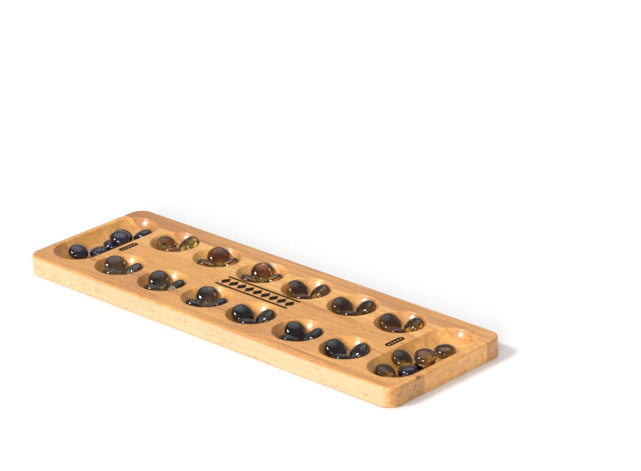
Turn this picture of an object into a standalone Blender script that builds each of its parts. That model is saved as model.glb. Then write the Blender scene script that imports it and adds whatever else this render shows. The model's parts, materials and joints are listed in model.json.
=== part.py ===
"""Mancala board: four edge-glued staves hollowed into twelve pits and two stores, with 48 glass stones.

Metres, +Z up. +X runs along the board, +Y towards its back row, and the origin is the centre of its underside.
"""
import math
import random

import bmesh
import bpy
from mathutils import Matrix, Vector

MM = 0.001

# Board
LENGTH = 431 * MM
WIDTH = 140 * MM
THICKNESS = 18 * MM
CORNER_RADIUS = 13 * MM
CORNER_SEGMENTS = 6
TOP_ROUNDING = 2.5 * MM
BOTTOM_ROUNDING = 1.5 * MM
ROUNDING_SEGMENTS = 2

# Glue lines between the staves, front to back, and the film of glue in each
GLUE_LINES = (-29.5 * MM, 13 * MM, 47.5 * MM)
GLUE_FILM = 0.1 * MM
STAVE_NAMES = ("front_stave", "mid_front_stave", "mid_back_stave", "back_stave")
STAVE_COLOURS = {
    "front_stave": (0.66, 0.36, 0.14),
    "mid_front_stave": (0.78, 0.49, 0.22),
    "mid_back_stave": (0.76, 0.46, 0.20),
    "back_stave": (0.64, 0.34, 0.14),
}
WOOD_ROUGHNESS = 0.35

# Hollows: every pit is a cap of one sphere, and a store is the same cap drawn out from row to row
PIT_RADIUS = 22.3 * MM
PIT_DEPTH = 13 * MM
PIT_PITCH = 53.5 * MM
ROW_OFFSET = 33.4 * MM
STORE_OFFSET = 186.8 * MM
PITS_IN_ROW = 6
BOWL_RADIUS = (PIT_RADIUS ** 2 + PIT_DEPTH ** 2) / (2 * PIT_DEPTH)
BOWL_CENTRE_HEIGHT = THICKNESS - PIT_DEPTH + BOWL_RADIUS
BOWL_SEGMENTS = 30
BOWL_RINGS = 18
STORE_SEGMENTS = 36
STORE_RINGS = 19

# Stones: a flattened glass drop, domed above its widest line and flatter below
STONE_DOME = 4.8 * MM
STONE_BASE = 3.2 * MM
DOME_FULLNESS = 2.2
BASE_FULLNESS = 3.0
STONE_STEPS = 14
PROFILE_STEPS = 6
OVAL_SPREAD = 0.02
SEAT_GAP = 0.55 * MM

# The three stones of a pit: a large one, and two smaller ones to either side of the bowl from it
LARGE_RADIUS = 10.2 * MM
LARGE_TILT = 34
SMALL_RADIUS = 9.3 * MM
SMALL_TILT = 32
SMALL_TURN = 119

# Bearing, in degrees from +X, of the large stone in each pit, left to right
FRONT_BEARINGS = (158, 152, 134, 174, 30, 178)
BACK_BEARINGS = (60, 134, 132, 176, 182, 178)

# Stones lying in the stores: place along the trough, bearing of the lean, tilt, radius and glass
LEFT_STORE_SEATS = (
    (-26.7 * MM, 180, 23, 9.3 * MM, "blue_black_glass"),
    (-12 * MM, 0, 9, 9.3 * MM, "blue_black_glass"),
    (6.8 * MM, 0, 1, 9.3 * MM, "blue_black_glass"),
    (24.8 * MM, 180, 17, 9.3 * MM, "blue_black_glass"),
    (33.4 * MM, 20, 24, 9.3 * MM, "blue_black_glass"),
)
RIGHT_STORE_SEATS = (
    (-33.4 * MM, 200, 22, 9.3 * MM, "brown_glass"),
    (-21.3 * MM, 0, 10, 9.2 * MM, "blue_black_glass"),
    (-11.6 * MM, 180, 32, 9.3 * MM, "brown_glass"),
    (-2.4 * MM, 0, 14, 9.3 * MM, "brown_glass"),
    (27.8 * MM, 0, 1, 9.6 * MM, "brown_glass"),
)

# The one stone in each store that lies on others: its centre from the middle of the store's mouth
TOP_STONE_RADIUS = 9.6 * MM
TOP_STONE_TILT = 10
TOP_STONE_BEARING = 150
LEFT_STORE_TOP = (7 * MM, 9.6 * MM, -0.9 * MM)
RIGHT_STORE_TOP = (8.4 * MM, -5.6 * MM, 0.6 * MM)

GLASS_COLOURS = {
    "smoky_glass": (0.045, 0.045, 0.05),
    "amber_glass": (0.13, 0.055, 0.012),
    "blue_black_glass": (0.02, 0.025, 0.045),
    "brown_glass": (0.10, 0.045, 0.02),
}
GLASS_ROUGHNESS = 0.06


def clear_scene():
    for thing in list(bpy.data.objects):
        bpy.data.objects.remove(thing, do_unlink=True)


def new_collection(name):
    collection = bpy.data.collections.new(name)
    bpy.context.scene.collection.children.link(collection)
    return collection


def new_material(name, colour, roughness):
    material = bpy.data.materials.new(name)
    material.use_nodes = True
    shader = material.node_tree.nodes["Principled BSDF"]
    shader.inputs["Base Color"].default_value = (*colour, 1)
    shader.inputs["Roughness"].default_value = roughness
    shader.inputs["Metallic"].default_value = 0
    return material


def new_object(name, shape, collection, material=None):
    """Turn a bmesh into an object of its own."""
    mesh = bpy.data.meshes.new(name)
    shape.to_mesh(mesh)
    shape.free()
    thing = bpy.data.objects.new(name, mesh)
    collection.objects.link(thing)
    if material:
        mesh.materials.append(material)
    return thing


def make_cutter(thing):
    thing.hide_render = True
    thing.display_type = "WIRE"
    return thing


def box_shape(low, high):
    """A box between two corners."""
    shape = bmesh.new()
    size = Vector(high) - Vector(low)
    middle = (Vector(high) + Vector(low)) / 2
    bmesh.ops.create_cube(shape, size=1, matrix=Matrix.Translation(middle) @ Matrix.Diagonal((*size, 1)))
    return shape


def round_edges(shape, edges, radius, segments):
    bmesh.ops.bevel(shape, geom=edges, offset=radius, offset_type="OFFSET", segments=segments,
                    profile=0.5, affect="EDGES", clamp_overlap=True)


def level_edges(shape, height):
    """The edges that lie flat at one height."""
    return [edge for edge in shape.edges
            if all(abs(vertex.co.z - height) < 0.01 * MM for vertex in edge.verts)
            and len([face for face in edge.link_faces if abs(face.normal.z) < 0.5]) == 1]


def make_blank(collection):
    """The board's outer form: a slab with round corners and eased edges."""
    shape = box_shape((-LENGTH / 2, -WIDTH / 2, 0), (LENGTH / 2, WIDTH / 2, THICKNESS))
    upright = [edge for edge in shape.edges
               if abs(edge.verts[0].co.z - edge.verts[1].co.z) > THICKNESS / 2]
    round_edges(shape, upright, CORNER_RADIUS, CORNER_SEGMENTS)
    shape.normal_update()
    round_edges(shape, level_edges(shape, THICKNESS), TOP_ROUNDING, ROUNDING_SEGMENTS)
    shape.normal_update()
    round_edges(shape, level_edges(shape, 0), BOTTOM_ROUNDING, ROUNDING_SEGMENTS)
    return make_cutter(new_object("blank_cutter", shape, collection))


def make_pit_cutter(name, x, y, collection):
    shape = bmesh.new()
    bmesh.ops.create_uvsphere(shape, u_segments=BOWL_SEGMENTS, v_segments=BOWL_RINGS, radius=BOWL_RADIUS)
    cutter = make_cutter(new_object(name, shape, collection))
    cutter.location = (x, y, BOWL_CENTRE_HEIGHT)
    return cutter


def make_store_cutter(name, x, collection):
    """A sphere with its poles on the Y axis, pulled apart at its middle into a trough with round ends."""
    shape = bmesh.new()
    bmesh.ops.create_uvsphere(shape, u_segments=STORE_SEGMENTS, v_segments=STORE_RINGS,
                              radius=BOWL_RADIUS, matrix=Matrix.Rotation(math.pi / 2, 4, "X"))
    for vertex in shape.verts:
        vertex.co.y += math.copysign(ROW_OFFSET, vertex.co.y)
    cutter = make_cutter(new_object(name, shape, collection))
    cutter.location = (x, 0, BOWL_CENTRE_HEIGHT)
    return cutter


def pit_x(index):
    return (index - (PITS_IN_ROW - 1) / 2) * PIT_PITCH


def make_cutters(collection):
    """Each hollow's cutter, with the lowest and highest Y that it reaches at the board's top."""
    cutters = []
    for row, y in (("front", -ROW_OFFSET), ("back", ROW_OFFSET)):
        for index in range(PITS_IN_ROW):
            cutter = make_pit_cutter(f"{row}_pit_{index + 1}_cutter", pit_x(index), y, collection)
            cutters.append((cutter, y - PIT_RADIUS, y + PIT_RADIUS))
    for side, x in (("left", -STORE_OFFSET), ("right", STORE_OFFSET)):
        cutter = make_store_cutter(f"{side}_store_cutter", x, collection)
        cutters.append((cutter, -ROW_OFFSET - PIT_RADIUS, ROW_OFFSET + PIT_RADIUS))
    return cutters


def add_boolean(thing, operation, cutter):
    modifier = thing.modifiers.new(f"{operation.lower()}_{cutter.name}", "BOOLEAN")
    modifier.operation = operation
    modifier.solver = "EXACT"
    modifier.object = cutter


def make_staves(parts, blank, cutters):
    """Square lengths of wood side by side, shaped together to the blank and hollowed together."""
    edges = (-WIDTH, *GLUE_LINES, WIDTH)
    for name, low_y, high_y in zip(STAVE_NAMES, edges[:-1], edges[1:]):
        low_y += GLUE_FILM / 2
        high_y -= GLUE_FILM / 2
        shape = box_shape((-LENGTH, low_y, -THICKNESS), (LENGTH, high_y, 2 * THICKNESS))
        wood = new_material(f"{name}_wood", STAVE_COLOURS[name], WOOD_ROUGHNESS)
        stave = new_object(name, shape, parts, wood)
        add_boolean(stave, "INTERSECT", blank)
        for cutter, cut_low, cut_high in cutters:
            if cut_high > low_y and cut_low < high_y:
                add_boolean(stave, "DIFFERENCE", cutter)


def stone_outline():
    """Height and share of the radius down a stone's side, from its dome's top to its base's middle."""
    outline = [(STONE_DOME, 0)]
    for step in range(1, PROFILE_STEPS):
        angle = math.pi / 2 - math.pi * step / PROFILE_STEPS
        fullness = DOME_FULLNESS if angle > 0 else BASE_FULLNESS
        height = STONE_DOME if angle > 0 else STONE_BASE
        share = math.cos(angle) ** (2 / fullness)
        outline.append((height * math.copysign(abs(math.sin(angle)) ** (2 / fullness), angle), share))
    outline.append((-STONE_BASE, 0))
    return outline


def make_outline_mesh():
    """The outline as a line of edges, one metre wide, for each stone to turn and to scale."""
    shape = bmesh.new()
    points = [shape.verts.new((share, 0, rise)) for rise, share in stone_outline()]
    for upper, lower in zip(points[:-1], points[1:]):
        shape.edges.new((upper, lower))
    mesh = bpy.data.meshes.new("stone_outline")
    shape.to_mesh(mesh)
    shape.free()
    return mesh


def leaning(bearing, tilt):
    """The way down from a bowl's centre to a stone that leans on its wall."""
    bearing = math.radians(bearing)
    tilt = math.radians(tilt)
    return Vector((math.sin(tilt) * math.cos(bearing), math.sin(tilt) * math.sin(bearing), -math.cos(tilt)))


def seat_distance(radius):
    """How far a stone's centre lies from the bowl's centre when its base rests in the bowl."""
    limit = BOWL_RADIUS - SEAT_GAP
    return min(math.sqrt(limit ** 2 - (share * radius) ** 2) + rise for rise, share in stone_outline())


def seat_place(centre, bearing, tilt, radius):
    return Vector(centre) + leaning(bearing, tilt) * seat_distance(radius)


def make_stone(name, mesh, place, down, radius, glass, draws, parts):
    """A stone at a place, with its base facing down."""
    stone = bpy.data.objects.new(name, mesh)
    parts.objects.link(stone)
    facing = (-down).to_track_quat("Z", "Y").to_matrix().to_4x4()
    spin = Matrix.Rotation(draws.uniform(0, 2 * math.pi), 4, "Z")
    oval = draws.uniform(-OVAL_SPREAD, OVAL_SPREAD)
    size = Matrix.Diagonal((radius * (1 + oval), radius * (1 - oval), 1, 1))
    stone.matrix_world = Matrix.Translation(place) @ facing @ spin @ size
    turn = stone.modifiers.new("turn", "SCREW")
    turn.axis = "Z"
    turn.steps = STONE_STEPS
    turn.render_steps = STONE_STEPS
    turn.use_merge_vertices = True
    turn.merge_threshold = 0.00001
    turn.use_smooth_shade = True
    stone.material_slots[0].link = "OBJECT"
    stone.material_slots[0].material = glass


def make_trio(name, mesh, centre, bearing, glass, draws, parts):
    """A pit's three stones, which lean on its wall and on each other."""
    for letter, turn, tilt, radius in (("a", 0, LARGE_TILT, LARGE_RADIUS),
                                       ("b", SMALL_TURN, SMALL_TILT, SMALL_RADIUS),
                                       ("c", -SMALL_TURN, SMALL_TILT, SMALL_RADIUS)):
        place = seat_place(centre, bearing + turn, tilt, radius)
        down = leaning(bearing + turn, tilt)
        make_stone(f"{name}_stone_{letter}", mesh, place, down, radius, glass, draws, parts)


def make_store_stones(name, mesh, x, seats, top, glasses, draws, parts):
    for (y, bearing, tilt, radius, glass), letter in zip(seats, "abcde"):
        place = seat_place((x, y, BOWL_CENTRE_HEIGHT), bearing, tilt, radius)
        down = leaning(bearing, tilt)
        make_stone(f"{name}_stone_{letter}", mesh, place, down, radius, glasses[glass], draws, parts)
    place = Vector((x, 0, THICKNESS)) + Vector(top)
    down = leaning(TOP_STONE_BEARING, TOP_STONE_TILT)
    last_glass = glasses[seats[-1][-1]]
    make_stone(f"{name}_stone_top", mesh, place, down, TOP_STONE_RADIUS, last_glass, draws, parts)


def make_stones(parts):
    draws = random.Random(48)
    mesh = make_outline_mesh()
    glasses = {name: new_material(name, colour, GLASS_ROUGHNESS) for name, colour in GLASS_COLOURS.items()}
    mesh.materials.append(glasses["smoky_glass"])
    for index in range(PITS_IN_ROW):
        make_trio(f"front_{index + 1}", mesh, (pit_x(index), -ROW_OFFSET, BOWL_CENTRE_HEIGHT),
                  FRONT_BEARINGS[index], glasses["smoky_glass"], draws, parts)
        make_trio(f"back_{index + 1}", mesh, (pit_x(index), ROW_OFFSET, BOWL_CENTRE_HEIGHT),
                  BACK_BEARINGS[index], glasses["amber_glass"], draws, parts)
    make_store_stones("left_store", mesh, -STORE_OFFSET, LEFT_STORE_SEATS, LEFT_STORE_TOP,
                      glasses, draws, parts)
    make_store_stones("right_store", mesh, STORE_OFFSET, RIGHT_STORE_SEATS, RIGHT_STORE_TOP,
                      glasses, draws, parts)


def main():
    clear_scene()
    parts = new_collection("mancala_board")
    cutter_collection = new_collection("cutters")
    blank = make_blank(cutter_collection)
    make_staves(parts, blank, make_cutters(cutter_collection))
    make_stones(parts)


main()
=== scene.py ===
"""Looks of the mancala board round the CAD frame: varnished staves, burnt-in ornament and glass stones."""
import json
import math
import random

import bmesh
import bpy
import numpy as np
from mathutils import Matrix, Vector


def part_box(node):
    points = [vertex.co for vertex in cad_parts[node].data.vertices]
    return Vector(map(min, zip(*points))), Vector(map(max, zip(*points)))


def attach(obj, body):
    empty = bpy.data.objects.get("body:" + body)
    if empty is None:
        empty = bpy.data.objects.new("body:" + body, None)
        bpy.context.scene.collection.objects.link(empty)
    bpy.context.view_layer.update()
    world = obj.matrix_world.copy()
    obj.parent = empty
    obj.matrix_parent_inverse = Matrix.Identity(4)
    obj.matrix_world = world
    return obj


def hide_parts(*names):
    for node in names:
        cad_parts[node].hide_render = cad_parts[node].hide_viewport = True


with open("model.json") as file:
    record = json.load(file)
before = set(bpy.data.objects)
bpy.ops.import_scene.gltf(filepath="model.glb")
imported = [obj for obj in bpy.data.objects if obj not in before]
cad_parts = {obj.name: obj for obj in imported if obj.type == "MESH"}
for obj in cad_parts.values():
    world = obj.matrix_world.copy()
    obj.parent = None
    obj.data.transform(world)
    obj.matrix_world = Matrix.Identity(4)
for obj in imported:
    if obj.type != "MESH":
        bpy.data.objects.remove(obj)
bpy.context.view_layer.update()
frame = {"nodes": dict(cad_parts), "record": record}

MM = 0.001

# The board's outer form, from the frame's staves
STAVES = ("front_stave", "mid_front_stave", "mid_back_stave", "back_stave")
ORNAMENT_STAVE = "mid_front_stave"
HALF_LENGTH, HALF_WIDTH, TOP = (max(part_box(name)[1][axis] for name in STAVES) for axis in range(3))
CORNER_RADIUS = 13 * MM
CORNER_SEGMENTS = 20
TOP_ROUNDING = 2.5 * MM
BOTTOM_ROUNDING = 1.5 * MM
ROUNDING_SEGMENTS = 6
GLUE_LINE_WIDTH = 0.02 * MM
SHARP_ANGLE = math.radians(32)

# The hollows. Every one is a cap of one sphere, and a store is that cap drawn out over both rows.
PIT_RADIUS = 22.3 * MM
PIT_DEPTH = 13 * MM
PIT_PITCH = 53.5 * MM
PITS_IN_ROW = 6
ROW_OFFSET = 33.4 * MM
STORE_OFFSET = 186.8 * MM
BOWL_RADIUS = (PIT_RADIUS ** 2 + PIT_DEPTH ** 2) / (2 * PIT_DEPTH)
BOWL_STEPS = 14
BOWL_SEGMENTS = 72
RIM_ROUNDING = 1.1 * MM
RIM_STEPS = 5
RIM_STOP = math.radians(6)
RIM_SKIRT = 1.0 * MM
CUTTER_TOP = 2 * MM
CUTTER_MARGIN = 4 * MM

# The burnt marks: a row of diamonds between two bars in the middle, and a lozenge by each store
BURN_DEPTH = 0.25 * MM
BAND_Y = 0.75 * MM
BAND_REACH = 42.5 * MM
BAND_BAR_OFFSET = 8.2 * MM
BAND_BAR_HALF_WIDTH = 1.3 * MM
BAND_DIAMONDS = 9
BAND_DIAMOND = (4.4 * MM, 6.2 * MM)
LOZENGES = ((-157.25 * MM, -1.25 * MM), (156.4 * MM, 1.1 * MM))
LOZENGE_HALF_WIDTH = 3.2 * MM
LOZENGE_HALF_LENGTH = 10.8 * MM
LOZENGE_PITCH = 3.5 * MM
LOZENGE_DIAMOND = (1.3 * MM, 1.0 * MM)

# The stones: a full dome over a flatter base. A higher fullness is nearer to a box.
STONE_DOME = 4.8 * MM
STONE_BASE = 3.2 * MM
DOME_FULLNESS = 2.25
BASE_FULLNESS = 3.2
STONE_RINGS = 18
STONE_SEGMENTS = 44
LOBE_COUNTS = (2, 3, 5)
LOBE_SIZES = (0.004, 0.012)
WRINKLE_HEIGHT = 0.12 * MM
WAIST_SHARE = 0.96
STONE_SEED = 12

# Camera, light and floor. Angles are in degrees.
CAMERA_AZIMUTH = 43.75
CAMERA_ELEVATION = 22.59
CAMERA_ROLL = -1.51
CAMERA_DISTANCE = 2.7201
CAMERA_TARGET = Vector((-0.0746, 0.1579, 0))
CAMERA_LENS = 169.23
SENSOR_WIDTH = 36
CLIP_RANGE = (0.1, 20)
WORLD_STRENGTH = 0.36
GLOW_STRENGTH = 1.4
GLOW_AZIMUTH = 222
GLOW_ELEVATION = 64
GLOW_REACH = 36
SUNS = {
    "key": dict(azimuth=-27, elevation=45, angle=15, strength=1.8),
    "front": dict(azimuth=28, elevation=14, angle=24, strength=2.15),
}
FLOOR_REACH = 6
FLOOR_DROP = 0.3 * MM
FLOOR_COLOUR = (0.96, 0.96, 0.96)

# The wood's patterns: how fast each changes along X, Y and Z, per metre
WANDER_SCALE = (7, 22, 22)
STREAK_SCALE = (5, 190, 190)
FIBRE_SCALE = (30, 800, 800)
CLOUD_SCALE = (9, 16, 16)
PORE_SCALE = (170, 820, 820)
PORE_PATCH_SCALE = (30, 130, 130)
CHAR_SCALE = (60, 900, 900)
KNOT_SCALE = (160, 240, 420)
RING_RATE = 260.0
RING_SWAY = 0.022

# Colours that all the staves share
KNOT_COLOUR = (0.21, 0.075, 0.022)
PORE_COLOUR = (0.20, 0.065, 0.015)
# The outer long sides' pale colour is painted light, standing in for the strongly lit front face
SIDE_LIGHT_COLOUR = (0.95, 0.50, 0.32)
SIDE_PORE_COLOUR = (0.36, 0.165, 0.07)
CHAR_COLOURS = ((0.006, 0.003, 0.002), (0.030, 0.012, 0.005))

# Each stave's wood. wood_material says what the words mean.
WOODS = {
    "front_stave": dict(
        light=(0.90, 0.44, 0.120), dark=(0.66, 0.25, 0.052), streak=(0.46, 0.145, 0.028),
        heart=(-0.16, 0.10), shift=1.3, end_tone=(0.62, 0.64, 0.58),
        streaks=0.75, blush=0.42, fade=0.0, knot=(HALF_LENGTH, -36 * MM, 17 * MM)),
    "mid_front_stave": dict(
        light=(0.87, 0.415, 0.100), dark=(0.70, 0.295, 0.062), streak=(0.56, 0.20, 0.040),
        heart=(0.02, -0.12), shift=4.7, end_tone=(0.90, 0.92, 0.90),
        streaks=0.55, blush=0.30, fade=0.0, knot=(-64 * MM, -24 * MM, TOP)),
    "mid_back_stave": dict(
        light=(0.98, 0.50, 0.145), dark=(0.78, 0.345, 0.082), streak=(0.60, 0.225, 0.045),
        heart=(0.10, -0.09), shift=8.2, end_tone=(0.84, 0.86, 0.82),
        streaks=0.55, blush=0.30, fade=0.0, knot=(96 * MM, 30 * MM, 0)),
    "back_stave": dict(
        light=(0.84, 0.41, 0.125), dark=(0.58, 0.225, 0.052), streak=(0.44, 0.145, 0.030),
        heart=(0.14, -0.08), shift=11.6, end_tone=(0.72, 0.62, 0.52),
        streaks=0.75, blush=0.40, fade=0.55, knot=(-HALF_LENGTH, 58 * MM, 9 * MM)),
}

# The stones' glass, by the frame's material slot. glass_material says what the words mean.
SWIRL_SCALE = (58, 58, 58)
RIPPLE_SCALE = (160, 160, 160)
# The rim tint darkens the glass at a glancing view: partly the longer path through the glass, partly painted
# shade for the dark pit seen through the rim
EDGE_SHADE = (0.03, 0.025, 0.03)
GLASSES = {
    "smoky_glass": dict(
        deep=(0.036, 0.030, 0.021), bright=(0.38, 0.31, 0.19), clouds=(0.34, 0.68),
        tint=(0.20, 0.16, 0.27), tint_span=(-15 * MM, 15 * MM),
        lustre=0.30, lustre_tint=(0.92, 0.94, 1.0)),
    "amber_glass": dict(
        deep=(0.150, 0.076, 0.014), bright=(0.78, 0.49, 0.085), clouds=(0.36, 0.68),
        tint=(0.56, 0.40, 0.28), tint_span=(-15 * MM, 35 * MM),
        lustre=0.12, lustre_tint=(1.0, 0.95, 0.9)),
    "blue_black_glass": dict(
        deep=(0.004, 0.004, 0.006), bright=(0.024, 0.020, 0.040), clouds=(0.40, 0.75),
        tint=(1.0, 1.0, 1.0), tint_span=(0, 1),
        lustre=0.60, lustre_tint=(0.66, 0.60, 1.0)),
    "brown_glass": dict(
        deep=(0.072, 0.027, 0.006), bright=(0.44, 0.19, 0.026), clouds=(0.36, 0.72),
        tint=(1.0, 1.0, 1.0), tint_span=(0, 1),
        lustre=0.15, lustre_tint=(1.0, 0.95, 0.9)),
}


# Camera and light

def bearing_vector(azimuth, elevation):
    """Unit vector from the object towards a viewer at that azimuth and elevation, in degrees."""
    a = math.radians(azimuth)
    e = math.radians(elevation)
    return Vector((math.sin(a) * math.cos(e), -math.cos(a) * math.cos(e), math.sin(e)))


def make_camera():
    data = bpy.data.cameras.new("camera")
    data.lens = CAMERA_LENS
    data.sensor_width = SENSOR_WIDTH
    data.clip_start, data.clip_end = CLIP_RANGE
    camera = bpy.data.objects.new("camera", data)
    bpy.context.scene.collection.objects.link(camera)
    back = bearing_vector(CAMERA_AZIMUTH, CAMERA_ELEVATION)
    level = (-back).cross(Vector((0, 0, 1))).normalized()
    turn = Matrix.Rotation(math.radians(CAMERA_ROLL), 4, back)
    right = turn @ level
    up = turn @ level.cross(-back)
    pose = Matrix((right, up, back)).transposed().to_4x4()
    pose.translation = CAMERA_TARGET + back * CAMERA_DISTANCE
    camera.matrix_world = pose
    bpy.context.scene.camera = camera


def sun_light(name, azimuth, elevation, angle, strength):
    """A soft light from that direction, equally strong all over. angle is its source's width, in degrees."""
    data = bpy.data.lights.new(name, "SUN")
    data.angle = math.radians(angle)
    data.energy = strength
    light = bpy.data.objects.new(name, data)
    bpy.context.scene.collection.objects.link(light)
    light.rotation_euler = bearing_vector(azimuth, elevation).to_track_quat("Z", "Y").to_euler()


def make_world():
    """A dim white surround with one broad soft glow, high behind the board as the camera sees it."""
    world = bpy.data.worlds.new("studio")
    bpy.context.scene.world = world
    world.use_nodes = True
    tree = world.node_tree
    direction = tree.nodes.new("ShaderNodeTexCoord")
    towards_glow = tree.nodes.new("ShaderNodeVectorMath")
    towards_glow.operation = "DOT_PRODUCT"
    towards_glow.inputs[1].default_value = bearing_vector(GLOW_AZIMUTH, GLOW_ELEVATION)
    glow = tree.nodes.new("ShaderNodeMapRange")
    glow.interpolation_type = "SMOOTHERSTEP"
    glow.inputs["From Min"].default_value = math.cos(math.radians(GLOW_REACH))
    glow.inputs["From Max"].default_value = 1.0
    glow.inputs["To Min"].default_value = WORLD_STRENGTH
    glow.inputs["To Max"].default_value = GLOW_STRENGTH
    tree.links.new(direction.outputs["Generated"], towards_glow.inputs[0])
    tree.links.new(towards_glow.outputs["Value"], glow.inputs["Value"])
    tree.links.new(glow.outputs["Result"], tree.nodes["Background"].inputs["Strength"])
    tree.nodes["Background"].inputs["Color"].default_value = (1, 1, 1, 1)


# Materials

class Graph:
    """A small helper that adds nodes to one material and links them."""

    def __init__(self, name):
        self.material = bpy.data.materials.new(name)
        self.material.use_nodes = True
        self.tree = self.material.node_tree
        self.shader = self.tree.nodes["Principled BSDF"]

    def feed(self, socket, value):
        """Link a node's output to the socket, or set the socket's own value."""
        if isinstance(value, bpy.types.NodeSocket):
            self.tree.links.new(value, socket)
        else:
            socket.default_value = value

    def shade(self, settings):
        """Feed the shader's sockets, by name."""
        for key, value in settings.items():
            self.feed(self.shader.inputs[key], value)

    def node(self, kind, inputs=None, output=0, **settings):
        made = self.tree.nodes.new(kind)
        for key, value in settings.items():
            setattr(made, key, value)
        for key, value in (inputs or {}).items():
            self.feed(made.inputs[key], value)
        return made.outputs[output]

    def split(self, vector):
        """The X, Y and Z of a vector, by name."""
        made = self.tree.nodes.new("ShaderNodeSeparateXYZ")
        self.feed(made.inputs[0], vector)
        return made.outputs

    def join(self, x, y, z):
        return self.node("ShaderNodeCombineXYZ", {"X": x, "Y": y, "Z": z})

    def maths(self, operation, first, second=0.0):
        return self.node("ShaderNodeMath", {0: first, 1: second}, operation=operation)

    def ramp(self, value, low, high, to_low=0.0, to_high=1.0):
        """A smooth step of value from low to high."""
        return self.node("ShaderNodeMapRange",
                         {"Value": value, "From Min": low, "From Max": high,
                          "To Min": to_low, "To Max": to_high},
                         interpolation_type="SMOOTHSTEP")

    def mix(self, share, first, second, blend="MIX"):
        made = self.tree.nodes.new("ShaderNodeMix")
        made.data_type = "RGBA"
        made.blend_type = blend
        self.feed(made.inputs["Factor"], share)
        self.feed(made.inputs["A"], (*first, 1) if isinstance(first, tuple) else first)
        self.feed(made.inputs["B"], (*second, 1) if isinstance(second, tuple) else second)
        return made.outputs["Result"]

    def multiply(self, colour, tint):
        return self.mix(1.0, colour, tint, "MULTIPLY")

    def stretch(self, scale, offset=(0, 0, 0)):
        """Object coordinates, scaled along each axis and moved."""
        coordinates = self.node("ShaderNodeTexCoord", output="Object")
        return self.node("ShaderNodeMapping", {"Vector": coordinates, "Location": offset, "Scale": scale})

    def noise(self, vector, detail=2.0, roughness=0.5, distortion=0.0):
        return self.node("ShaderNodeTexNoise",
                         {"Vector": vector, "Scale": 1.0, "Detail": detail, "Roughness": roughness,
                          "Distortion": distortion})

    def bump(self, height, distance, strength):
        return self.node("ShaderNodeBump", {"Height": height, "Distance": distance, "Strength": strength})


def growth_rings(graph, at, heart, shift):
    """How dark the growth rings are here. They run round a far heart and wander slowly along the board."""
    wander = graph.noise(graph.stretch(WANDER_SCALE, (shift, shift, 0)), detail=3, roughness=0.55)
    across = graph.maths("SUBTRACT", at["Y"], heart[0])
    depth = graph.maths("SUBTRACT", at["Z"], heart[1])
    squares = graph.maths("ADD", graph.maths("MULTIPLY", across, across),
                          graph.maths("MULTIPLY", depth, depth))
    radius = graph.maths("ADD", graph.maths("SQRT", squares), graph.maths("MULTIPLY", wander, RING_SWAY))
    rings = graph.noise(graph.join(graph.maths("MULTIPLY", radius, RING_RATE), shift * 3.1, 0.0),
                        detail=2.5, roughness=0.6)
    return graph.ramp(rings, 0.38, 0.66)


def wood_pores(graph, shift):
    """How much of a pore lies here, in patches: short dashes along the grain, dots on the end grain."""
    cells = graph.node("ShaderNodeTexVoronoi",
                       {"Vector": graph.stretch(PORE_SCALE, (0, shift, 0)),
                        "Scale": 1.0, "Randomness": 1.0},
                       feature="F1")
    patches = graph.ramp(graph.noise(graph.stretch(PORE_PATCH_SCALE, (shift, 2, 1)), detail=2), 0.42, 0.58)
    return graph.maths("MULTIPLY", graph.ramp(cells, 0.32, 0.17), patches)


def with_knot(graph, colour, place, fibre, knot):
    """The colour with a small brown fleck, drawn out along the grain, with a ragged edge."""
    offset = tuple(-value * scale for value, scale in zip(knot, KNOT_SCALE))
    away = graph.node("ShaderNodeMapping", {"Vector": place, "Location": offset, "Scale": KNOT_SCALE})
    distance = graph.node("ShaderNodeVectorMath", {0: away}, output="Value", operation="LENGTH")
    ragged = graph.maths("ADD", distance, graph.maths("MULTIPLY", fibre, 0.5))
    return graph.mix(graph.ramp(ragged, 1.15, 0.55, 0.0, 0.75), colour, KNOT_COLOUR)


def with_sides(graph, colour, at, pores, end_tone):
    """The colour with painted light on the outer long sides, which go paler over their own side-grain pores,
    and the end grain darker, as it drinks the finish.
    """
    facing = graph.split(graph.node("ShaderNodeNewGeometry", output="Normal"))
    # Painted light: the outer long sides go paler, as where the strong front light falls on them
    side_light_share = graph.ramp(graph.maths("ABSOLUTE", facing["Y"]), 0.80, 1.0, 0.0, 0.62)
    outside = graph.ramp(graph.maths("ABSOLUTE", at["Y"]), HALF_WIDTH - 4 * MM, HALF_WIDTH - 1 * MM)
    side = graph.mix(pores, SIDE_LIGHT_COLOUR, SIDE_PORE_COLOUR)
    colour = graph.mix(graph.maths("MULTIPLY", side_light_share, outside), colour, side)
    end_share = graph.ramp(graph.maths("ABSOLUTE", facing["X"]), 0.55, 0.95)
    return graph.mix(end_share, colour, graph.multiply(colour, end_tone))


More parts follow.
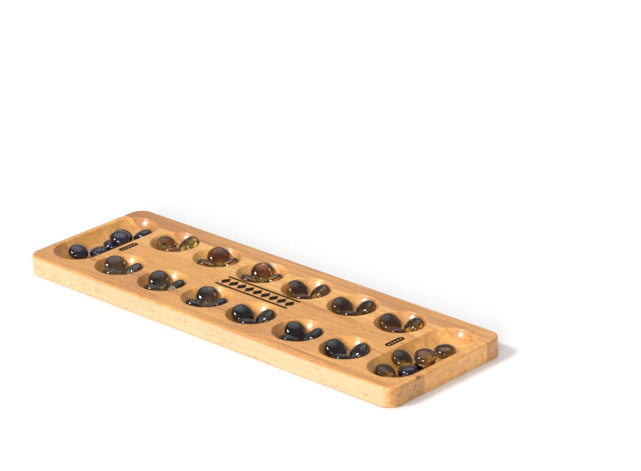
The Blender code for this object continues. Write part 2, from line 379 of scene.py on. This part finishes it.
def wood_material(name, light, dark, streak, heart, shift, end_tone, streaks, blush, fade, knot):
    """Rubberwood with its grain along X: growth rings, streaks, short pores, and a coat of varnish.

    light and dark are the rings' colours, and heart is the (y, z) of their centre. shift moves the patterns,
    so that no two staves match. streaks, blush and fade are how far the streaks, the broad clouds and the
    stave's left end go towards the streak colour. end_tone darkens the end grain, and knot is the place of a
    brown fleck.
    """
    graph = Graph(name)
    place = graph.stretch((1, 1, 1))
    at = graph.split(place)
    rings = growth_rings(graph, at, heart, shift)
    long_streaks = graph.noise(graph.stretch(STREAK_SCALE, (shift * 2, shift, shift)),
                               detail=4, roughness=0.62)
    streak_share = graph.ramp(long_streaks, 0.50, 0.72)
    fibre = graph.noise(graph.stretch(FIBRE_SCALE, (shift, 0, shift)), detail=2, roughness=0.7)
    fibre_shade = graph.ramp(fibre, 0.25, 0.75, 0.87, 1.10)
    cloud = graph.noise(graph.stretch(CLOUD_SCALE, (shift * 1.7, 0, 0)), detail=2, roughness=0.5)
    pores = wood_pores(graph, shift)

    colour = graph.mix(graph.maths("MULTIPLY", rings, 0.55), light, dark)
    colour = graph.mix(graph.maths("MULTIPLY", streak_share, streaks), colour, streak)
    colour = graph.mix(graph.ramp(cloud, 0.45, 0.75, 0.0, blush), colour, streak)
    colour = graph.mix(graph.ramp(at["X"], 0.0, -HALF_LENGTH, 0.0, fade), colour, streak)
    colour = graph.multiply(colour, graph.join(fibre_shade, fibre_shade, fibre_shade))
    colour = with_knot(graph, colour, place, fibre, knot)
    colour = graph.mix(graph.maths("MULTIPLY", pores, 0.75), colour, PORE_COLOUR)
    colour = with_sides(graph, colour, at, pores, end_tone)

    relief = graph.maths("SUBTRACT", graph.maths("MULTIPLY", fibre, 0.35), pores)
    graph.shade({
        "Base Color": colour,
        "Roughness": graph.ramp(long_streaks, 0.3, 0.7, 0.36, 0.46),
        "Normal": graph.bump(relief, 0.06 * MM, 0.5),
        "Specular IOR Level": 0.45,
        "Coat Weight": 0.75,
        "Coat Roughness": 0.14,
        "Coat IOR": 1.48,
    })
    return graph.material


def char_material():
    """The burnt wood in the ornament's grooves."""
    graph = Graph("charred_wood")
    grain = graph.noise(graph.stretch(CHAR_SCALE), detail=3, roughness=0.65)
    graph.shade({
        "Base Color": graph.mix(graph.ramp(grain, 0.35, 0.75), *CHAR_COLOURS),
        "Roughness": graph.ramp(grain, 0.3, 0.7, 0.5, 0.75),
        "Normal": graph.bump(grain, 0.1 * MM, 0.6),
        "Specular IOR Level": 0.12,
    })
    return graph.material


def glass_material(name, deep, bright, clouds, tint, tint_span, lustre, lustre_tint):
    """Tinted glass: cloudy swirls from a deep to a bright colour inside, darker at a glancing view, partly
    for the longer path through the glass and partly as painted shade for the dark pit seen through the rim.

    clouds is the range of the swirl's noise over which deep turns to bright. tint colours the stones more and
    more along tint_span, a stretch of X. lustre is the glossy skin's weight, and lustre_tint colours the
    reflections.
    """
    graph = Graph(name)
    swirl = graph.noise(graph.stretch(SWIRL_SCALE), detail=1.5, roughness=0.5, distortion=0.8)
    colour = graph.mix(graph.ramp(swirl, *clouds), deep, bright)
    at = graph.split(graph.stretch((1, 1, 1)))
    colour = graph.mix(graph.ramp(at["X"], *tint_span), colour, graph.multiply(colour, tint))
    # Partly painted shade: the rims go dark where the dark pit shows through them; the rest is the longer
    # path through the glass
    edge = graph.node("ShaderNodeLayerWeight", {"Blend": 0.5}, output="Facing")
    colour = graph.mix(graph.ramp(edge, 0.34, 0.66), colour, graph.multiply(colour, EDGE_SHADE))
    ripple = graph.noise(graph.stretch(RIPPLE_SCALE, (3, 1, 2)), detail=1)
    graph.shade({
        "Base Color": colour,
        "Normal": graph.bump(ripple, 0.2 * MM, 0.25),
        "Roughness": 0.035,
        "IOR": 1.52,
        "Transmission Weight": 1.0,
        "Coat Weight": lustre,
        "Coat Roughness": 0.08,
        "Coat IOR": 1.6,
        "Specular Tint": (*lustre_tint, 1),
    })
    return graph.material


def floor_material():
    graph = Graph("floor")
    graph.shade({"Base Color": (*FLOOR_COLOUR, 1), "Roughness": 0.9, "Specular IOR Level": 0.1})
    return graph.material


# Shapes that several pieces use

def new_piece(name, shape, materials):
    """Turn a bmesh into a shown object of its own."""
    mesh = bpy.data.meshes.new(name)
    shape.to_mesh(mesh)
    shape.free()
    for material in materials:
        mesh.materials.append(material)
    piece = bpy.data.objects.new(name, mesh)
    bpy.context.scene.collection.objects.link(piece)
    return piece


def box_shape(low, high):
    shape = bmesh.new()
    size = Vector(high) - Vector(low)
    middle = (Vector(high) + Vector(low)) / 2
    bmesh.ops.create_cube(shape, size=1, matrix=Matrix.Translation(middle) @ Matrix.Diagonal((*size, 1)))
    return shape


def level_edges(shape, height):
    """The edges that lie flat at one height, round the outside."""
    return [edge for edge in shape.edges
            if all(abs(vertex.co.z - height) < 0.01 * MM for vertex in edge.verts)
            and len([face for face in edge.link_faces if abs(face.normal.z) < 0.5]) == 1]


def round_edges(shape, edges, radius, segments):
    bmesh.ops.bevel(shape, geom=edges, offset=radius, offset_type="OFFSET", segments=segments,
                    profile=0.5, affect="EDGES", clamp_overlap=True)
    shape.normal_update()


def apply_boolean(piece, operation, cutter):
    modifier = piece.modifiers.new("boolean", "BOOLEAN")
    modifier.operation = operation
    modifier.solver = "EXACT"
    modifier.object = cutter
    modifier.material_mode = "TRANSFER"


def bake_modifiers(piece):
    """Replace the piece's mesh by the evaluated one."""
    bpy.context.view_layer.update()
    evaluated = piece.evaluated_get(bpy.context.evaluated_depsgraph_get())
    mesh = bpy.data.meshes.new_from_object(evaluated)
    piece.modifiers.clear()
    piece.data = mesh


# The board

def make_blank():
    """The board's outer form, with round corners and softly eased edges."""
    shape = box_shape((-HALF_LENGTH, -HALF_WIDTH, 0), (HALF_LENGTH, HALF_WIDTH, TOP))
    upright = [edge for edge in shape.edges if abs(edge.verts[0].co.z - edge.verts[1].co.z) > TOP / 2]
    round_edges(shape, upright, CORNER_RADIUS, CORNER_SEGMENTS)
    round_edges(shape, level_edges(shape, TOP), TOP_ROUNDING, ROUNDING_SEGMENTS)
    round_edges(shape, level_edges(shape, 0), BOTTOM_ROUNDING, ROUNDING_SEGMENTS)
    return new_piece("blank", shape, [])


def hollow_profile():
    """Radius and height above the top, from the middle of the bowl, up its wall and over its rounded rim.

    The rim's arc is tangent to the bowl's sphere and to the top. It stops RIM_STOP short of level and goes
    on straight, so that it crosses the top instead of lying in it.
    """
    centre_height = BOWL_RADIUS - PIT_DEPTH
    arc_height = -RIM_ROUNDING
    arc_reach = math.sqrt((BOWL_RADIUS + RIM_ROUNDING) ** 2 - (centre_height - arc_height) ** 2)
    touch = math.atan2(arc_reach, centre_height - arc_height)
    points = []
    for step in range(BOWL_STEPS + 1):
        angle = touch * step / BOWL_STEPS
        points.append((BOWL_RADIUS * math.sin(angle), centre_height - BOWL_RADIUS * math.cos(angle)))
    for step in range(1, RIM_STEPS + 1):
        angle = touch + (RIM_STOP - touch) * step / RIM_STEPS
        points.append((arc_reach - RIM_ROUNDING * math.sin(angle),
                       arc_height + RIM_ROUNDING * math.cos(angle)))
    reach, height = points[-1]
    points.append((reach + RIM_SKIRT, height + RIM_SKIRT * math.tan(RIM_STOP)))
    points.append((reach + RIM_SKIRT, CUTTER_TOP))
    return points


def hollow_cutter(name, x, y, pull=0.0):
    """The hollow's shape as a solid. pull moves its two halves apart along Y, which makes it a store."""
    shape = bmesh.new()
    profile = hollow_profile()
    rings = []
    for reach, height in profile[1:]:
        ring = []
        for segment in range(BOWL_SEGMENTS):
            angle = 2 * math.pi * (segment + 0.5) / BOWL_SEGMENTS
            across = reach * math.sin(angle)
            ring.append(shape.verts.new((reach * math.cos(angle), across + math.copysign(pull, across),
                                         TOP + height)))
        rings.append(ring)
    for lower, upper in zip(rings[:-1], rings[1:]):
        for segment in range(BOWL_SEGMENTS):
            following = (segment + 1) % BOWL_SEGMENTS
            shape.faces.new((lower[segment], lower[following], upper[following], upper[segment]))
    # The lowest ring closes on the bowl's deepest point, or on one such point in each half of a store
    floor_height = TOP + profile[0][1]
    floor = [shape.verts.new((0, side * pull, floor_height)) for side in ((1, -1) if pull else (1,))]
    for segment in range(BOWL_SEGMENTS):
        following = (segment + 1) % BOWL_SEGMENTS
        near = floor[0] if rings[0][segment].co.y > 0 or not pull else floor[1]
        far = floor[0] if rings[0][following].co.y > 0 or not pull else floor[1]
        corners = [rings[0][following], rings[0][segment], near]
        if far is not near:
            corners.append(far)
        shape.faces.new(corners)
    shape.faces.new(rings[-1])
    bmesh.ops.recalc_face_normals(shape, faces=shape.faces)
    cutter = new_piece(name, shape, [])
    cutter.location = (x, y, 0)
    return cutter


def pit_centres():
    for side in (-1, 1):
        for index in range(PITS_IN_ROW):
            yield (index - (PITS_IN_ROW - 1) / 2) * PIT_PITCH, side * ROW_OFFSET


def make_hollow_cutters():
    """Each hollow's cutter with the lowest and highest Y that it reaches."""
    reach = PIT_RADIUS + CUTTER_MARGIN
    cutters = [(hollow_cutter("pit_cutter", x, y), y - reach, y + reach) for x, y in pit_centres()]
    for x in (-STORE_OFFSET, STORE_OFFSET):
        store = hollow_cutter("store_cutter", x, 0, ROW_OFFSET)
        cutters.append((store, -ROW_OFFSET - reach, ROW_OFFSET + reach))
    return cutters


def closed_outline(curve, points):
    """Add one closed outline to a 2D curve."""
    spline = curve.splines.new("POLY")
    spline.points.add(len(points) - 1)
    for point, (x, y) in zip(spline.points, points):
        point.co = (x, y, 0, 1)
    spline.use_cyclic_u = True


def diamond(x, y, half_long, half_wide):
    return [(x - half_long, y), (x, y + half_wide), (x + half_long, y), (x, y - half_wide)]


def stadium(x, y, half_wide, half_long, steps=8):
    """A bar with round ends that runs along Y."""
    points = []
    for end, start in ((half_long - half_wide, 0), (half_wide - half_long, math.pi)):
        for step in range(steps + 1):
            angle = start + math.pi * step / steps
            points.append((x + half_wide * math.cos(angle), y + end + half_wide * math.sin(angle)))
    return points


def bar(x, y, half_long, half_wide):
    return [(x - half_long, y - half_wide), (x + half_long, y - half_wide),
            (x + half_long, y + half_wide), (x - half_long, y + half_wide)]


def ornament_outlines():
    """The burnt marks' outlines. A lozenge's small diamonds are holes in it."""
    outlines = []
    for side in (-1, 1):
        outlines.append(bar(0, BAND_Y + side * BAND_BAR_OFFSET, BAND_REACH, BAND_BAR_HALF_WIDTH))
    for place in range(BAND_DIAMONDS):
        x = (place - (BAND_DIAMONDS - 1) / 2) * 2 * BAND_REACH / BAND_DIAMONDS
        outlines.append(diamond(x, BAND_Y, *BAND_DIAMOND))
    for x, y in LOZENGES:
        outlines.append(stadium(x, y, LOZENGE_HALF_WIDTH, LOZENGE_HALF_LENGTH))
        for place in (-2, -1, 0, 1, 2):
            outlines.append(diamond(x, y + place * LOZENGE_PITCH, *LOZENGE_DIAMOND))
    return outlines


def make_ornament_cutter():
    """The burnt marks as a solid, which leaves its charred material on the grooves that it cuts."""
    curve = bpy.data.curves.new("ornament", "CURVE")
    curve.dimensions = "2D"
    curve.fill_mode = "BOTH"
    curve.extrude = BURN_DEPTH
    for points in ornament_outlines():
        closed_outline(curve, points)
    holder = bpy.data.objects.new("ornament", curve)
    bpy.context.scene.collection.objects.link(holder)
    bpy.context.view_layer.update()
    mesh = bpy.data.meshes.new_from_object(holder.evaluated_get(bpy.context.evaluated_depsgraph_get()))
    shape = bmesh.new()
    shape.from_mesh(mesh)
    bmesh.ops.remove_doubles(shape, verts=shape.verts, dist=0.001 * MM)
    bmesh.ops.recalc_face_normals(shape, faces=shape.faces)
    cutter = new_piece("ornament_cutter", shape, [char_material()])
    cutter.location = (0, 0, TOP)
    bpy.data.objects.remove(holder)
    return cutter


def nearest_line(y):
    """The glue line beside a stave's edge, or a place well outside the board for an outer edge.

    A glue line lies in the middle of the gap between two of the frame's staves.
    """
    if abs(y) > HALF_WIDTH - MM:
        return math.copysign(2 * HALF_WIDTH, y)
    edges = [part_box(name)[side].y for name in STAVES for side in (0, 1)]
    near = [edge for edge in edges if abs(edge - y) < 0.5 * MM]
    return sum(near) / len(near)


def make_stave(name, blank, cutters, ornament):
    """The slice of the board between two glue lines, with its share of the hollows and of the marks."""
    low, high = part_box(name)
    low_y = nearest_line(low.y) + GLUE_LINE_WIDTH / 2
    high_y = nearest_line(high.y) - GLUE_LINE_WIDTH / 2
    shape = box_shape((-2 * HALF_LENGTH, low_y, -TOP), (2 * HALF_LENGTH, high_y, 2 * TOP))
    piece = new_piece(f"{name}_wood", shape, [wood_material(f"{name}_wood", **WOODS[name])])
    apply_boolean(piece, "INTERSECT", blank)
    for cutter, cut_low, cut_high in cutters:
        if cut_high > low_y and cut_low < high_y:
            apply_boolean(piece, "DIFFERENCE", cutter)
    if name == ORNAMENT_STAVE:
        apply_boolean(piece, "DIFFERENCE", ornament)
    bake_modifiers(piece)
    piece.data.shade_smooth()
    piece.data.set_sharp_from_angle(angle=SHARP_ANGLE)
    weighted = piece.modifiers.new("weighted_normals", "WEIGHTED_NORMAL")
    weighted.keep_sharp = True
    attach(piece, "board")
    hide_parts(name)


def make_staves():
    blank = make_blank()
    cutters = make_hollow_cutters()
    ornament = make_ornament_cutter()
    for name in STAVES:
        make_stave(name, blank, cutters, ornament)
    for cutter in [blank, ornament] + [entry[0] for entry in cutters]:
        bpy.data.objects.remove(cutter)


# The stones

def stone_pose(node):
    """A stone's pose, with its axes (long, wide, up) and its waist's centre, and its two radii.

    All come from the spread of its CAD solid's vertices. Up is the thin way, towards the fuller side.
    """
    points = np.unique(np.round([vertex.co for vertex in node.data.vertices], 6), axis=0)
    middle = points.mean(0)
    vectors = np.linalg.eigh(np.cov((points - middle).T))[1]
    up = vectors[:, 0]
    along = (points - middle) @ up
    across = (points - middle) - np.outer(along, up)
    reach = np.linalg.norm(across, axis=1)
    waist = along[reach > WAIST_SHARE * reach.max()].mean()
    if along.max() - waist < waist - along.min():
        up = -up
        waist = -waist
    long_axis = vectors[:, 2]
    wide_axis = np.cross(up, long_axis)
    radii = [np.abs(across @ axis).max() for axis in (long_axis, wide_axis)]
    pose = Matrix((long_axis, wide_axis, up)).transposed().to_4x4()
    pose.translation = Vector(middle + up * waist)
    return pose, radii


def make_stone(name, node, material, draws):
    """A poured glass drop: a full dome, a rounded waist and a flatter, slightly wrinkled base."""
    pose, (long_radius, wide_radius) = stone_pose(node)
    lobes = [(count, draws.uniform(0, 2 * math.pi), draws.uniform(*LOBE_SIZES)) for count in LOBE_COUNTS]
    shape = bmesh.new()
    rings = []
    for ring in range(1, STONE_RINGS):
        angle = math.pi / 2 - math.pi * ring / STONE_RINGS
        fullness = DOME_FULLNESS if angle > 0 else BASE_FULLNESS
        height = STONE_DOME if angle > 0 else STONE_BASE
        share = math.cos(angle) ** (2 / fullness)
        rise = height * math.copysign(abs(math.sin(angle)) ** (2 / fullness), angle)
        row = []
        for segment in range(STONE_SEGMENTS):
            turn = 2 * math.pi * segment / STONE_SEGMENTS
            wobble = sum(size * (math.cos(count * turn + phase) - 1) for count, phase, size in lobes)
            reach = share * (1 + wobble)
            lift = 0.0
            if angle < 0:
                lift = WRINKLE_HEIGHT * math.sin(3 * turn + lobes[1][1]) * math.sin(2 * share * math.pi)
            place = Vector((long_radius * reach * math.cos(turn), wide_radius * reach * math.sin(turn),
                            rise + abs(lift)))
            row.append(shape.verts.new(pose @ place))
        rings.append(row)
    crown = shape.verts.new(pose @ Vector((0, 0, STONE_DOME)))
    foot = shape.verts.new(pose @ Vector((0, 0, -STONE_BASE)))
    for segment in range(STONE_SEGMENTS):
        following = (segment + 1) % STONE_SEGMENTS
        shape.faces.new((crown, rings[0][segment], rings[0][following]))
        shape.faces.new((foot, rings[-1][following], rings[-1][segment]))
        for upper, lower in zip(rings[:-1], rings[1:]):
            shape.faces.new((upper[segment], lower[segment], lower[following], upper[following]))
    piece = new_piece(f"{name}_glass", shape, [material])
    piece.data.shade_smooth()
    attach(piece, name)
    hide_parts(name)
    return piece


def make_stones():
    draws = random.Random(STONE_SEED)
    glasses = {name: glass_material(name, **look) for name, look in GLASSES.items()}
    slots = {entry["node"]: entry["material_slot"] for entry in frame["record"]["subparts"]}
    for name in sorted(frame["nodes"]):
        if name not in STAVES:
            piece = make_stone(name, frame["nodes"][name], glasses[slots[name]], draws)


def make_surroundings():
    """A pale floor just under the board, and plain soft studio light."""
    shape = bmesh.new()
    bmesh.ops.create_grid(shape, x_segments=1, y_segments=1, size=FLOOR_REACH)
    floor = new_piece("floor", shape, [floor_material()])
    floor.location = (0, 0, -FLOOR_DROP)
    make_world()
    for name, sun in SUNS.items():
        sun_light(name, **sun)
    bpy.context.scene.view_settings.view_transform = "Standard"


make_camera()
make_surroundings()
make_staves()
make_stones()
